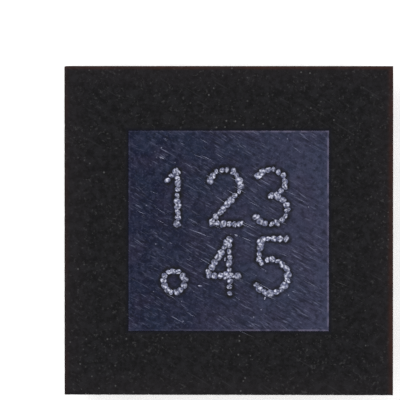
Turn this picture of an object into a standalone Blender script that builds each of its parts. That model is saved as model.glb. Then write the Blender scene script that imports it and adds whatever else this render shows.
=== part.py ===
"""Clock oscillator chip in a moulded wafer package, built up layer by layer.

The silicon die lies face down in a moulded frame, and both are ground flush on
top. Under them lie a polymer film, the copper wiring that fans the die's pads
out to the balls, a second film that keeps the solder off, and an array of
solder balls, on whose small flats the chip rests.

Lengths are in metres, so a value that ends in e-6 reads as micrometres. The
middle of the underside is the origin, +Z is up, and ball a1 is at -X, -Y.
"""

import math

import bmesh
import bpy
from mathutils import Matrix, Vector

# Package
ROWS = "abcdef"              # rows of balls along +Y, with as many columns along +X
PITCH = 500e-6               # from ball to ball
EDGE_MARGIN = 265e-6         # from the outer balls' centres to the sawn side
BODY_HEIGHT = 450e-6         # mould and die, ground flush
DIE_SIDE = 1850e-6
SAW_STREET = 50e-6           # bare mould between the films and the sawn side

# Solder balls
BALL_DIAMETER = 300e-6
BALL_BULGE = 20e-6           # how far a ball stands out past its soldered neck
FOOT_DIAMETER = 60e-6        # small flat on the crown
BALL_FACETS = 12
LOWER_BANDS = 3              # from the foot to the widest ring
UPPER_BANDS = 2              # from the widest ring to the neck

# Films and copper
OUTER_FILM = 14e-6           # solder stop, between the balls
COPPER = 10e-6
INNER_FILM = 12e-6           # between the copper and the die
LAND_MARGIN = 21e-6          # how far a land reaches under the solder stop
LAND_FACETS = 16
LIP_CLEARANCE = 12e-6        # between the outer lands and the solder stop's lip
TRACE_WIDTH = 28e-6
SUPPLY_WIDTH = 50e-6
TRACE_GAP = 18e-6            # between two traces, two pads, or a trace and a land
LONG_BEND = 112e-6           # diagonal by which a trace leaves its lane for its pad
MIDDLE_BEND = 76e-6
SHORT_BEND = 56e-6
LONG_TIP = Vector((1.30, 0.90))   # a land drawn out past its square corner, in radii
SQUARE_TIP = Vector((1.0, 1.0))

# Vias, the copper posts that rise through the inner film to the die
VIA_DIAMETER = 22e-6
PAD_COLLAR = 6e-6            # how far a via's pad stands out past its trace
VIA_FACETS = 8
PAD_INSET = 55e-6            # from the die's edge to its outer line of pads

# Clearance between two bonded faces
SEAT_GAP = 2e-6

# Directions in which a trace leaves its land
NORTH_EAST = Vector((1, 1))
NORTH_WEST = Vector((-1, 1))
SOUTH_EAST = Vector((1, -1))
SOUTH_WEST = Vector((-1, -1))


def ball_rise(width):
    """Height of a ball's centre over the level at which it is this wide."""
    return math.sqrt(BALL_DIAMETER ** 2 - width ** 2) / 2


def ball_width(rise):
    """Width of a ball at this height over its centre."""
    return 2 * math.sqrt((BALL_DIAMETER / 2) ** 2 - rise ** 2)


# Heights of the stack, from the resting plane up
NECK_DIAMETER = BALL_DIAMETER - 2 * BALL_BULGE
BALL_CENTRE = ball_rise(FOOT_DIAMETER)
BALL_TOP = BALL_CENTRE + ball_rise(NECK_DIAMETER)
STOP_BOTTOM = BALL_TOP - OUTER_FILM
COPPER_BOTTOM = BALL_TOP + SEAT_GAP
COPPER_TOP = COPPER_BOTTOM + COPPER
INNER_BOTTOM = COPPER_TOP + SEAT_GAP
INNER_TOP = INNER_BOTTOM + INNER_FILM
BODY_BOTTOM = INNER_TOP + SEAT_GAP

# Widths that follow from the ones above
BODY_SIDE = (len(ROWS) - 1) * PITCH + 2 * EDGE_MARGIN
FILM_SIDE = BODY_SIDE - 2 * SAW_STREET
OPENING_DIAMETER = ball_width(STOP_BOTTOM - BALL_CENTRE) + 2 * SEAT_GAP
LAND_DIAMETER = OPENING_DIAMETER + 2 * LAND_MARGIN
LAND_RADIUS = LAND_DIAMETER / 2


def line(number):
    """Place of a row or column of balls, counted from 1, across the chip."""
    return (number - (len(ROWS) + 1) / 2) * PITCH


def between(number):
    """Place halfway between a row or column and the next."""
    return line(number + 0.5)


def ball_place(name):
    """Centre of a ball on the plan, from its letter and number."""
    return Vector((line(int(name[1:])), line(ROWS.index(name[0]) + 1)))


def pad_diameter(trace_width):
    """Width of the pad in which a trace of this width ends."""
    return trace_width + 2 * PAD_COLLAR


def outer_lane(number):
    """Distance from the middle to a lane, counted in from the outer ring of lands."""
    lane_step = TRACE_WIDTH + TRACE_GAP
    return line(len(ROWS)) - LAND_RADIUS + TRACE_WIDTH / 2 - number * lane_step


# Lane next to the second ring of lands, and outer line of pads, which lies inside it
INNER_LANE = line(len(ROWS) - 1) + LAND_RADIUS + TRACE_GAP + TRACE_WIDTH / 2
PAD_STEP = pad_diameter(TRACE_WIDTH) + TRACE_GAP
PAD_LINE = min(DIE_SIDE / 2 - PAD_INSET, INNER_LANE - PAD_STEP)


def place_object(name, mesh, material, parent, location=(0, 0, 0)):
    """Link a new object that carries this mesh and material."""
    if not mesh.materials:
        mesh.materials.append(material)
    piece = bpy.data.objects.new(name, mesh)
    piece.location = location
    piece.parent = parent
    bpy.context.collection.objects.link(piece)
    return piece


def mesh_from(name, drawing):
    """Close a bmesh of one body into a mesh, with its faces pointing out."""
    bmesh.ops.recalc_face_normals(drawing, faces=drawing.faces)
    if drawing.calc_volume(signed=True) < 0:
        bmesh.ops.reverse_faces(drawing, faces=drawing.faces)
    return plain_mesh(name, drawing)


def plain_mesh(name, drawing):
    """Hand a bmesh over to a mesh as it is."""
    mesh = bpy.data.meshes.new(name)
    drawing.to_mesh(mesh)
    drawing.free()
    return mesh


def principled(name, colour, roughness, metallic=0.0):
    """Plain material with the colour and finish that the piece has."""
    material = bpy.data.materials.new(name)
    material.use_nodes = True
    shader = material.node_tree.nodes["Principled BSDF"]
    shader.inputs["Base Color"].default_value = (*colour, 1.0)
    shader.inputs["Roughness"].default_value = roughness
    shader.inputs["Metallic"].default_value = metallic
    return material


def square_plan(drawing, side):
    """One square face on the plan, centred on the origin."""
    half = side / 2
    corners = ((-half, -half), (half, -half), (half, half), (-half, half))
    plan = drawing.faces.new([drawing.verts.new((x, y, 0)) for x, y in corners])
    plan.normal_update()
    return plan


def raise_plan(drawing, height):
    """Extrude a whole plan along Z into a solid and give back its top faces."""
    grown = bmesh.ops.extrude_face_region(drawing, geom=drawing.faces[:])["geom"]
    points = [item for item in grown if isinstance(item, bmesh.types.BMVert)]
    bmesh.ops.translate(drawing, verts=points, vec=(0, 0, height))
    return [item for item in grown if isinstance(item, bmesh.types.BMFace)]


def move_face(drawing, face, height):
    """Extrude one face of a solid along Z, up for a post or down for a recess."""
    moved = bmesh.ops.extrude_discrete_faces(drawing, faces=[face])["faces"][0]
    bmesh.ops.translate(drawing, verts=moved.verts[:], vec=(0, 0, height))


def mould_mesh():
    """Square frame of moulding compound round the window that holds the die."""
    drawing = bmesh.new()
    plan = square_plan(drawing, BODY_SIDE)
    wall = (BODY_SIDE - DIE_SIDE) / 2 - SEAT_GAP
    bmesh.ops.inset_individual(drawing, faces=[plan], thickness=wall, use_even_offset=True)
    bmesh.ops.delete(drawing, geom=[plan], context="FACES_ONLY")
    raise_plan(drawing, BODY_HEIGHT)
    return mesh_from("mould_frame", drawing)


def die_mesh():
    """Silicon die, as thick as the mould that it is ground flush with."""
    drawing = bmesh.new()
    square_plan(drawing, DIE_SIDE)
    raise_plan(drawing, BODY_HEIGHT)
    return mesh_from("silicon_die", drawing)


def inner_film_mesh():
    """Film between the copper and the die, before its via holes."""
    drawing = bmesh.new()
    square_plan(drawing, FILM_SIDE)
    raise_plan(drawing, INNER_FILM)
    return mesh_from("inner_film", drawing)


def solder_stop_mesh():
    """Film under the copper, with a lip that closes it against the inner film."""
    drawing = bmesh.new()
    rise = COPPER_TOP - STOP_BOTTOM
    square_plan(drawing, FILM_SIDE)
    top = raise_plan(drawing, rise)
    lip_width = FILM_SIDE / 2 - line(len(ROWS)) - LAND_RADIUS - LIP_CLEARANCE
    bmesh.ops.inset_individual(drawing, faces=top, thickness=lip_width, use_even_offset=True)
    move_face(drawing, top[0], OUTER_FILM - rise)
    return mesh_from("solder_stop", drawing)


def ball_mesh():
    """Reflowed ball: a sphere with a small flat foot, cut off at its soldered neck."""
    radius = BALL_DIAMETER / 2
    foot = math.asin(FOOT_DIAMETER / BALL_DIAMETER)
    widest = math.pi / 2
    neck = math.pi - math.asin(NECK_DIAMETER / BALL_DIAMETER)
    angles = [foot + (widest - foot) * step / LOWER_BANDS for step in range(LOWER_BANDS)]
    angles += [widest + (neck - widest) * step / UPPER_BANDS for step in range(UPPER_BANDS + 1)]

    drawing = bmesh.new()
    points = [
        drawing.verts.new((radius * math.sin(angle), 0, -radius * math.cos(angle)))
        for angle in angles
    ]
    edges = [drawing.edges.new(pair) for pair in zip(points, points[1:])]
    bmesh.ops.spin(
        drawing, geom=points + edges, cent=(0, 0, 0), axis=(0, 0, 1),
        angle=math.tau, steps=BALL_FACETS, use_merge=True,
    )
    rims = [edge for edge in drawing.edges if edge.is_boundary]
    bmesh.ops.holes_fill(drawing, edges=rims, sides=0)
    mesh = mesh_from("solder_ball", drawing)
    mesh.shade_smooth()
    mesh.set_sharp_from_angle(angle=math.radians(40))
    return mesh


def drill(piece, name, places, diameter, facets, bottom, top):
    """Cut round holes through a film with one cutter for them all."""
    drawing = bmesh.new()
    middle = (bottom + top) / 2
    for place in places:
        bmesh.ops.create_cone(
            drawing, cap_ends=True, segments=facets,
            radius1=diameter / 2, radius2=diameter / 2, depth=3 * (top - bottom),
            matrix=Matrix.Translation((place.x, place.y, middle)),
        )
    cutter = bpy.data.objects.new(name, plain_mesh(name, drawing))
    cutter.hide_render = True
    cutter.display_type = "WIRE"
    cutter.parent = piece.parent
    bpy.context.collection.objects.link(cutter)
    cut = piece.modifiers.new(name, "BOOLEAN")
    cut.operation = "DIFFERENCE"
    cut.solver = "EXACT"
    cut.object = cutter


class Pad:
    """A round spot of copper on the plan, and the strips' ends that meet it."""

    def __init__(self, centre, diameter, facets, is_via):
        self.centre = centre
        self.radius = diameter / 2
        self.facets = facets
        self.is_via = is_via
        self.ends = []

    def edge(self, direction, width):
        """Where a strip of this width that heads for the centre meets the rim."""
        return self.centre + direction * math.sqrt(self.radius ** 2 - (width / 2) ** 2)

    def outline(self, drawing):
        """Points round the pad in order: its arc, drawn out to each strip's end."""
        ring = [point for end in self.ends for point in end]
        step = math.tau / self.facets
        for number in range(self.facets):
            reach = Vector((self.radius, 0)) @ Matrix.Rotation(-number * step, 2)
            if not any(self.is_covered(reach, end, step) for end in self.ends):
                drawn = self.centre + reach
                ring.append(drawing.verts.new((drawn.x, drawn.y, 0)))
        return sorted(ring, key=self.bearing)

    def bearing(self, point):
        """Angle at which a point lies as seen from the pad's middle."""
        way = point.co.to_2d() - self.centre
        return math.atan2(way.y, way.x)

    def is_covered(self, reach, end, step):
        """Whether a point of the arc lies behind a strip's end, or all but on it."""
        sides = [end[0].co.to_2d() - self.centre, end[-1].co.to_2d() - self.centre]
        if min((reach - side).length for side in sides) < self.radius * step / 4:
            return True
        heading = sides[0] + sides[1]
        spread = max(
            abs(heading.angle_signed(side)) + math.acos(min(1, self.radius / side.length))
            for side in sides
        )
        return abs(heading.angle_signed(reach)) < spread - step / 100


class Net:
    """One piece of the copper wiring, drawn on the plan and then raised.

    It is made of round pads and of strips between them. Some pads are the lands
    of balls, and the others carry the post of a via.
    """

    def __init__(self, name):
        self.name = name
        self.drawing = bmesh.new()
        self.pads = {}

    def add_land(self, ball):
        self.pads[ball] = Pad(ball_place(ball), LAND_DIAMETER, LAND_FACETS, False)

    def add_via(self, key, place, trace_width):
        self.pads[key] = Pad(Vector(place), pad_diameter(trace_width), VIA_FACETS, True)

    def vias(self):
        return [pad for pad in self.pads.values() if pad.is_via]

    def cross_section(self, point, across, with_middle):
        """Points across a strip, from left to right."""
        places = [point + across, point - across]
        if with_middle:
            places.insert(1, point)
        return [self.drawing.verts.new((place.x, place.y, 0)) for place in places]

    def strip(self, corners, width, start, end):
        """Strip along these corners, mitred at each, from one pad to another."""
        ways = [(b - a).normalized() for a, b in zip(corners, corners[1:])]
        sections = []
        for number, corner in enumerate(corners):
            before = ways[max(number - 1, 0)]
            after = ways[min(number, len(ways) - 1)]
            mitre = (before + after) / (1 + before.dot(after))
            across = Vector((-mitre.y, mitre.x)) * width / 2
            with_middle = (
                (number == 0 and self.pads[start].is_via)
                or (number == len(ways) and self.pads[end].is_via)
            )
            sections.append(self.cross_section(corner, across, with_middle))
        for near, far in zip(sections, sections[1:]):
            self.drawing.faces.new(near + far[::-1])
        self.pads[start].ends.append(sections[0])
        self.pads[end].ends.append(sections[-1])

    def link(self, start, end, width):
        """Straight strip from pad to pad."""
        way = (self.pads[end].centre - self.pads[start].centre).normalized()
        corners = [self.pads[start].edge(way, width), self.pads[end].edge(-way, width)]
        self.strip(corners, width, start, end)

    def finish(self):
        """Raise the plan to the copper's height, and a post on each via's pad."""
        vias = self.vias()
        number_of_via = self.drawing.faces.layers.int.new("number_of_via")
        for pad in self.pads.values():
            face = self.drawing.faces.new(pad.outline(self.drawing))
            face[number_of_via] = vias.index(pad) + 1 if pad.is_via else 0
        for face in raise_plan(self.drawing, COPPER):
            if face[number_of_via]:
                centre = vias[face[number_of_via] - 1].centre
                bmesh.ops.inset_individual(self.drawing, faces=[face], thickness=0)
                for point in face.verts:
                    reach = point.co.to_2d() - centre
                    point.co.xy = centre + reach * VIA_DIAMETER / 2 / reach.length
                move_face(self.drawing, face, INNER_TOP - COPPER_TOP)
        return mesh_from(self.name, self.drawing)


def octilinear(stops):
    """Corners of a line through the stops, each leg first diagonal and then straight."""
    corners = [stops[0]]
    for stop in stops[1:]:
        reach = stop - corners[-1]
        run = min(abs(reach.x), abs(reach.y))
        bend = corners[-1] + Vector((math.copysign(run, reach.x), math.copysign(run, reach.y)))
        if SEAT_GAP < run < max(abs(reach.x), abs(reach.y)) - SEAT_GAP:
            corners.append(bend)
        corners.append(stop)
    return corners


def trace_net(ball, way, tip, turn, pad):
    """Land drawn out to a tip, and a trace from there to a pad on the die."""
    net = Net(f"trace_{ball}")
    net.add_land(ball)
    net.add_via("pad", pad, TRACE_WIDTH)
    drawn_out = Vector((way.x * tip.x, way.y * tip.y)) * LAND_RADIUS
    start = ball_place(ball) + drawn_out - way.normalized() * TRACE_WIDTH / 2
    stops = [start] + ([Vector(turn)] if turn else []) + [Vector(pad)]
    corners = octilinear(stops)
    arrival = (corners[-2] - corners[-1]).normalized()
    corners[-1] = net.pads["pad"].edge(arrival, TRACE_WIDTH)
    net.strip(corners, TRACE_WIDTH, ball, "pad")
    return net


def turn_off(lane, bend):
    """How far ahead of its pad a trace turns off a lane, as far as there is room."""
    return min(bend, lane - PAD_LINE - PAD_STEP / 2)


def trace_nets():
    """Nets of the outer balls, which have a trace each."""
    north = east = PAD_LINE
    south = west = -PAD_LINE
    near = outer_lane(1)
    far = outer_lane(2)
    inner = -INNER_LANE
    pad_f6 = between(4) + 1.5 * PAD_STEP
    pad_f5 = between(3) + 0.75 * PAD_STEP
    pad_f1 = between(4) + 0.5 * PAD_STEP
    pad_b6 = between(3) - 0.5 * PAD_STEP
    pad_a6 = between(3) - 1.5 * PAD_STEP

    # Ball, way out of its land, the land's tip, where the trace leaves a lane, and its pad
    routes = (
        ("f6", SOUTH_WEST, SQUARE_TIP, (far, pad_f6 + turn_off(far, LONG_BEND)), (east, pad_f6)),
        ("f5", SOUTH_WEST, SQUARE_TIP, (pad_f5 + turn_off(far, SHORT_BEND), far), (pad_f5, north)),
        ("f4", SOUTH_WEST, SQUARE_TIP, None, (between(3) - 0.75 * PAD_STEP, north)),
        ("f3", SOUTH_WEST, SQUARE_TIP, None, (between(2) + 1.25 * PAD_STEP, north)),
        ("f2", SOUTH_EAST, SQUARE_TIP, None, (between(2), north)),
        ("f1", SOUTH_EAST, SQUARE_TIP, (inner, pad_f1 + turn_off(-inner, SHORT_BEND)), (west, pad_f1)),
        ("e6", SOUTH_WEST, LONG_TIP, None, (east, between(4) + 0.5 * PAD_STEP)),
        ("d6", SOUTH_WEST, LONG_TIP, None, (east, between(3) + 1.5 * PAD_STEP)),
        ("c6", NORTH_WEST, SQUARE_TIP, None, (east, between(3) + 0.5 * PAD_STEP)),
        ("b6", NORTH_WEST, SQUARE_TIP, (near, pad_b6 - turn_off(near, LONG_BEND)), (east, pad_b6)),
        ("a6", NORTH_WEST, SQUARE_TIP, (far, pad_a6 - turn_off(far, MIDDLE_BEND)), (east, pad_a6)),
        ("a5", NORTH_WEST, SQUARE_TIP, None, (between(4), south)),
        ("a2", NORTH_EAST, SQUARE_TIP, None, (between(2), south)),
        ("b1", NORTH_EAST, SQUARE_TIP, None, (west, between(2))),
        ("e1", SOUTH_EAST, SQUARE_TIP, None, (west, between(4) - 0.5 * PAD_STEP)),
    )
    return [trace_net(*route) for route in routes]


def lattice_net(name, balls, via_pairs):
    """Lands tied to each neighbour along the rows and columns.

    The strips named in via_pairs have the pad of a via halfway along.
    """
    reach = 1.1 * PITCH     # past a neighbour, and short of the ball diagonally across
    net = Net(name)
    for ball in balls:
        net.add_land(ball)
    for number, ball in enumerate(balls):
        for other in balls[number + 1:]:
            apart = ball_place(other) - ball_place(ball)
            if apart.length > reach:
                continue
            if (ball, other) in via_pairs:
                via = f"via_{ball}_{other}"
                net.add_via(via, ball_place(ball) + apart / 2, SUPPLY_WIDTH)
                net.link(ball, via, SUPPLY_WIDTH)
                net.link(via, other, SUPPLY_WIDTH)
            else:
                net.link(ball, other, SUPPLY_WIDTH)
    return net


def pair_net(outer, inner, via_place):
    """An outer land tied to an inner one, and that one to a via beside it."""
    net = Net(f"trace_{outer}_{inner}")
    net.add_land(outer)
    net.add_land(inner)
    net.add_via("via", via_place, TRACE_WIDTH)
    net.link(outer, inner, SUPPLY_WIDTH)
    net.link(inner, "via", TRACE_WIDTH)
    return net


def inner_nets():
    """Wiring of the balls under the die, and of the supply balls."""
    yield lattice_net(
        "ground_copper",
        ("b5", "c3", "c4", "c5", "d3", "d4", "d5", "e2", "e3", "e4", "e5"),
        (("c3", "c4"), ("c4", "c5"), ("d3", "d4"), ("d4", "d5")),
    )
    yield lattice_net("supply_copper", ("a3", "a4", "b3", "b4"), (("b3", "b4"),))
    yield pair_net("a1", "b2", (between(2), between(2)))
    yield pair_net("c1", "c2", (between(2), line(3)))
    yield pair_net("d1", "d2", (between(2), line(4)))


def clear_scene():
    for leftover in list(bpy.data.objects):
        bpy.data.objects.remove(leftover, do_unlink=True)


def build():
    """Make every piece, each as its own object under one empty."""
    clear_scene()
    mould = principled("moulding_compound", (0.014, 0.014, 0.015), 0.62)
    silicon = principled("ground_silicon", (0.020, 0.022, 0.050), 0.30)
    polymer = principled("black_polymer", (0.010, 0.009, 0.009), 0.22)
    copper = principled("plated_copper", (0.74, 0.22, 0.11), 0.38, metallic=1.0)
    solder = principled("reflowed_solder", (0.76, 0.75, 0.73), 0.48, metallic=1.0)

    chip = bpy.data.objects.new("oscillator_chip", None)
    bpy.context.collection.objects.link(chip)
    place_object("mould_frame", mould_mesh(), mould, chip, (0, 0, BODY_BOTTOM))
    place_object("silicon_die", die_mesh(), silicon, chip, (0, 0, BODY_BOTTOM))
    inner = place_object("inner_film", inner_film_mesh(), polymer, chip, (0, 0, INNER_BOTTOM))
    stop = place_object("solder_stop", solder_stop_mesh(), polymer, chip, (0, 0, STOP_BOTTOM))

    via_places = []
    for net in [*trace_nets(), *inner_nets()]:
        via_places += [via.centre for via in net.vias()]
        place_object(net.name, net.finish(), copper, chip, (0, 0, COPPER_BOTTOM))
    hole = (VIA_DIAMETER + 2 * SEAT_GAP) / math.cos(math.pi / VIA_FACETS)
    drill(inner, "via_holes", via_places, hole, VIA_FACETS, INNER_BOTTOM, INNER_TOP)

    balls = [f"{row}{number + 1}" for row in ROWS for number in range(len(ROWS))]
    places = [ball_place(ball) for ball in balls]
    drill(stop, "ball_openings", places, OPENING_DIAMETER, BALL_FACETS, STOP_BOTTOM, COPPER_TOP)
    shared = ball_mesh()
    for ball, place in zip(balls, places):
        place_object(f"ball_{ball}", shared, solder, chip, (place.x, place.y, BALL_CENTRE))


build()
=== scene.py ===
"""Finish and surroundings of a clock oscillator chip, laid out as a Blender add-on.

The chip lies on its solder balls with the bare back of its silicon die up. The
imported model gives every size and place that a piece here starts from. Lengths
are in metres, +Z is up, and textures count in millimetres.
"""

import random
from math import cos, dist, exp, radians, sin, sqrt, tan, tau

import bmesh
import bpy
import numpy as np
from bpy.props import FloatProperty, FloatVectorProperty, IntProperty, PointerProperty
from mathutils import Matrix, Vector, geometry, noise


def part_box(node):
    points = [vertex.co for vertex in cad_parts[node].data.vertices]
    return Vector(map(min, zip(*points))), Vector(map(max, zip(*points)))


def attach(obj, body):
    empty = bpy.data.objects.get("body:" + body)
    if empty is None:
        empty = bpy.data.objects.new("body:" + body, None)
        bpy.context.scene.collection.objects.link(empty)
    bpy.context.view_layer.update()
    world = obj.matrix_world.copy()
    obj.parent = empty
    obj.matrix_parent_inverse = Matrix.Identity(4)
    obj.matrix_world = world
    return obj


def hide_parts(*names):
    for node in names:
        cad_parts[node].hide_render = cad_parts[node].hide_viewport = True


bl_info = {
    "name": "Oscillator chip finish",
    "version": (1, 0, 0),
    "blender": (4, 5, 0),
    "location": "View3D > Sidebar > Chip",
    "description": "Dresses the packed oscillator chip and sets its stage",
    "category": "Object",
}

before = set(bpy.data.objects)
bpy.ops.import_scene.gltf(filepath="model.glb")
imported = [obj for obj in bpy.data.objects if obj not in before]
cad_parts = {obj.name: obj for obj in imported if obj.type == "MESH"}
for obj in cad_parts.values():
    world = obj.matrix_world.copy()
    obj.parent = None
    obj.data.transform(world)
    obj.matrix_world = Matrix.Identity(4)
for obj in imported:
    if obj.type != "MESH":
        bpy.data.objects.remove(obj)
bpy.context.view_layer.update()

MICRON = 1e-6
MM = 1e-3

# Places closer than this are one
TOUCH = 0.1 * MICRON

# Corners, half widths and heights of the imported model
DIE_LOW, DIE_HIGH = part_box("silicon_die")
STOP_LOW, STOP_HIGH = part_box("solder_stop")
MOULD_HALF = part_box("mould_frame")[1].x
DIE_HALF = DIE_HIGH.x
BODY_BOTTOM, TOP = DIE_LOW.z, DIE_HIGH.z
BALLS = [row + column for row in "abcdef" for column in "123456"]
COPPER_NETS = [
    name for name in sorted(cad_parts)
    if name.startswith("trace_") or name.endswith("_copper")
]


def ball_centre(ball):
    """Middle of a ball's widest ring."""
    low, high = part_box(f"ball_{ball}")
    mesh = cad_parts[f"ball_{ball}"].data
    widest = max(mesh.vertices, key=lambda vertex: vertex.co.x)
    return Vector(((low.x + high.x) / 2, (low.y + high.y) / 2, widest.co.z))


CENTRES = {ball: ball_centre(ball) for ball in BALLS}
SPOTS = [centre.to_2d() for centre in CENTRES.values()]
BALL_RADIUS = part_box("ball_a1")[1].x - CENTRES["a1"].x
BALL_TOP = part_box("ball_a1")[1].z
LAND_RADIUS = CENTRES["a3"].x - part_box("supply_copper")[0].x
OPENING_RADIUS = sqrt(BALL_RADIUS ** 2 - (STOP_LOW.z - CENTRES["a1"].z) ** 2) + 2 * MICRON


def shade(*levels):
    """Linear colour of red, green and blue as read off a screen, from 0 to 255."""
    shares = [level / 255 for level in levels]
    return [v / 12.92 if v <= 0.04045 else ((v + 0.055) / 1.055) ** 2.4 for v in shares]


def tone(name, description, *levels):
    """Colour that a user can change, given as a shade."""
    return FloatVectorProperty(
        name=name, description=description, subtype="COLOR", default=shade(*levels))


def amount(name, description, default, **kind):
    """Number that a user can change."""
    return FloatProperty(name=name, description=description, default=default, **kind)


def size(name, description, microns):
    """Length that a user can change, given in microns."""
    return amount(name, description, microns * MICRON, unit="LENGTH", precision=6)


class MouldLooks(bpy.types.PropertyGroup):
    """Black moulding compound round the die."""

    top: tone("Ground top", "Compound on the ground top face", 26, 25, 28)
    wall: tone("Sawn wall", "Compound on the sawn sides", 50, 32, 27)
    street: tone("Saw street", "Compound round the films on the underside", 92, 78, 76)
    filler: tone("Filler", "Cut filler grains in the compound", 112, 112, 112)
    cell: size("Mesh cell", "Spacing of the top's mesh lines", 20)
    bevel: size("Worn edge", "Width of the worn bevel along the top edges", 3)
    chips: size("Edge chips", "How far the saw has chipped the outer edge", 2)


class DieLooks(bpy.types.PropertyGroup):
    """Ground back of the silicon die."""

    left: tone("Left side", "Tint of the silicon towards the index mark", 6, 14, 42)
    right: tone("Right side", "Tint of the silicon away from the index mark", 53, 55, 78)
    scratch: tone("Scratches", "Bright lines left by the grinding wheel", 122, 126, 150)
    # The edge colour is a painted highlight along the die's rim
    edge: tone("Edge", "Bright line round the die", 118, 112, 136)
    # This dark ring colour is burn marks with painted shade round each raised dot
    scorch_and_shade: tone("Scorch", "Dark rim round each burnt dot", 14, 14, 18)
    cell: size("Mesh cell", "Spacing of the top's mesh lines", 8)
    bevel: size("Worn edge", "Width of the worn bevel round the die", 6)
    grinding: amount("Grinding angle", "Slope of the scratches", radians(-28), subtype="ANGLE")
    scratches: IntProperty(
        name="Deep scratches", description="Number of scratches cut as geometry", default=46)


class MarkLooks(bpy.types.PropertyGroup):
    """Burnt dots of the index ring and of the plain counting digits."""

    colour: tone("Dots", "Frosted silicon of a burnt dot", 87, 92, 124)
    dot: size("Dot", "Width of a dot", 68)
    pitch: size("Dot pitch", "Step from dot to dot along a stroke", 53)
    height: size("Digit height", "From the lowest dot's middle to the highest", 500)
    width: size("Digit width", "From the leftmost dot's middle to the rightmost", 290)
    ring: size("Ring", "Width of the index ring between its dots' middles", 195)


class FilmLooks(bpy.types.PropertyGroup):
    """Clear solder stop film over the copper, on the black film behind it."""

    black: tone("Black", "Film away from the copper", 15, 11, 8)
    # The orange-brown colour is the film's tint and, on the lands, painted shade of the balls
    amber_and_ball_shade: tone("Amber", "Thick film over the middle of the copper", 186, 92, 42)
    rim: tone("Rim", "Ragged outer edge of the films", 176, 166, 158)
    dust: tone("Dust", "Pale specks on the film", 186, 186, 184)
    swell: size("Swell", "How far the film stands out over the copper", 5)


class CopperLooks(bpy.types.PropertyGroup):
    """Plated copper of the lands and traces."""

    colour: tone("Copper", "Freshly plated copper", 248, 186, 158)


class BallLooks(bpy.types.PropertyGroup):
    """Frosted solder of the balls."""

    # Bright solder is a painted highlight on the ridges; dull solder shows painted shade in the hollows
    bright: tone("Bright solder", "Crests of the crumpled surface", 236, 234, 230)
    # The contact marks on the feet also paint a dark reflection
    dull: tone("Dull solder", "Hollows and the marks of test contacts", 158, 155, 151)
    crumple: size("Crumple", "Height of the small dents", 5.5)
    burrs: IntProperty(
        name="Burrs", description="Small nodules on each ball", default=3)


class StageLooks(bpy.types.PropertyGroup):
    """Floor, light and camera."""

    floor: FloatVectorProperty(
        name="Floor", description="Pale floor", subtype="COLOR", default=(0.92, 0.92, 0.92))
    glow: amount("Floor glow", "Brightness that the floor shows by itself", 0.40)
    sky: amount("Sky", "Brightness of the studio overhead and below", 0.80)
    horizon: amount("Horizon", "Brightness of the studio at the sides", 0.50)
    key: amount("Key light", "Strength of the main lamp", 0.95)
    fill: amount("Fill light", "Strength of the lamp opposite", 0.35)
    under: amount("Under light", "Strength of the lamp below the floor", 1.8)
    lens: amount("Lens", "Focal length in millimetres", 600.0)
    view: size("View width", "Width of the picture at the chip's top", 3687)
    aim: FloatVectorProperty(
        name="Aim", description="Middle of the picture on the chip's top",
        size=2, unit="LENGTH", precision=6, default=(-0.2639 * MM, 0.2845 * MM))
    lean: amount("Lean", "Tilt of the camera towards +X and +Y", radians(1.8), subtype="ANGLE")


class ChipLooks(bpy.types.PropertyGroup):
    """All the values of the chip's looks."""

    mould: PointerProperty(type=MouldLooks)
    die: PointerProperty(type=DieLooks)
    marks: PointerProperty(type=MarkLooks)
    film: PointerProperty(type=FilmLooks)
    copper: PointerProperty(type=CopperLooks)
    balls: PointerProperty(type=BallLooks)
    stage: PointerProperty(type=StageLooks)


class Wiring:
    """Nodes of one shader tree."""

    def __init__(self, tree):
        self.tree = tree

    def feed(self, socket, value):
        """Give a socket a value or another node's output."""
        if isinstance(value, bpy.types.NodeSocket):
            self.tree.links.new(value, socket)
        elif socket.type == "RGBA":
            socket.default_value = (*value, 1.0)
        else:
            socket.default_value = value

    def node(self, kind, *values, **settings):
        """New node with these settings and with its first inputs fed in order."""
        made = self.tree.nodes.new("ShaderNode" + kind)
        for key, value in settings.items():
            setattr(made, key, value)
        for socket, value in zip(made.inputs, values):
            self.feed(socket, value)
        return made

    def output(self, kind, **inputs):
        """First output of a new node with these inputs fed by name."""
        made = self.node(kind)
        for name, value in inputs.items():
            self.feed(made.inputs[name], value)
        return made.outputs[0]

    def calc(self, operation, *values):
        return self.node("Math", *values, operation=operation).outputs[0]

    def times(self, product, *others):
        """Product of these values."""
        for other in others:
            product = self.calc("MULTIPLY", product, other)
        return product

    def seen_directly(self):
        """Socket that is 1 for rays from the camera, a gloss or a glass, and 0 for stray light."""
        rays = self.node("LightPath").outputs
        seen = self.calc("MAXIMUM", rays["Is Camera Ray"], rays["Is Glossy Ray"])
        return self.calc("MAXIMUM", seen, rays["Is Transmission Ray"])


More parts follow.
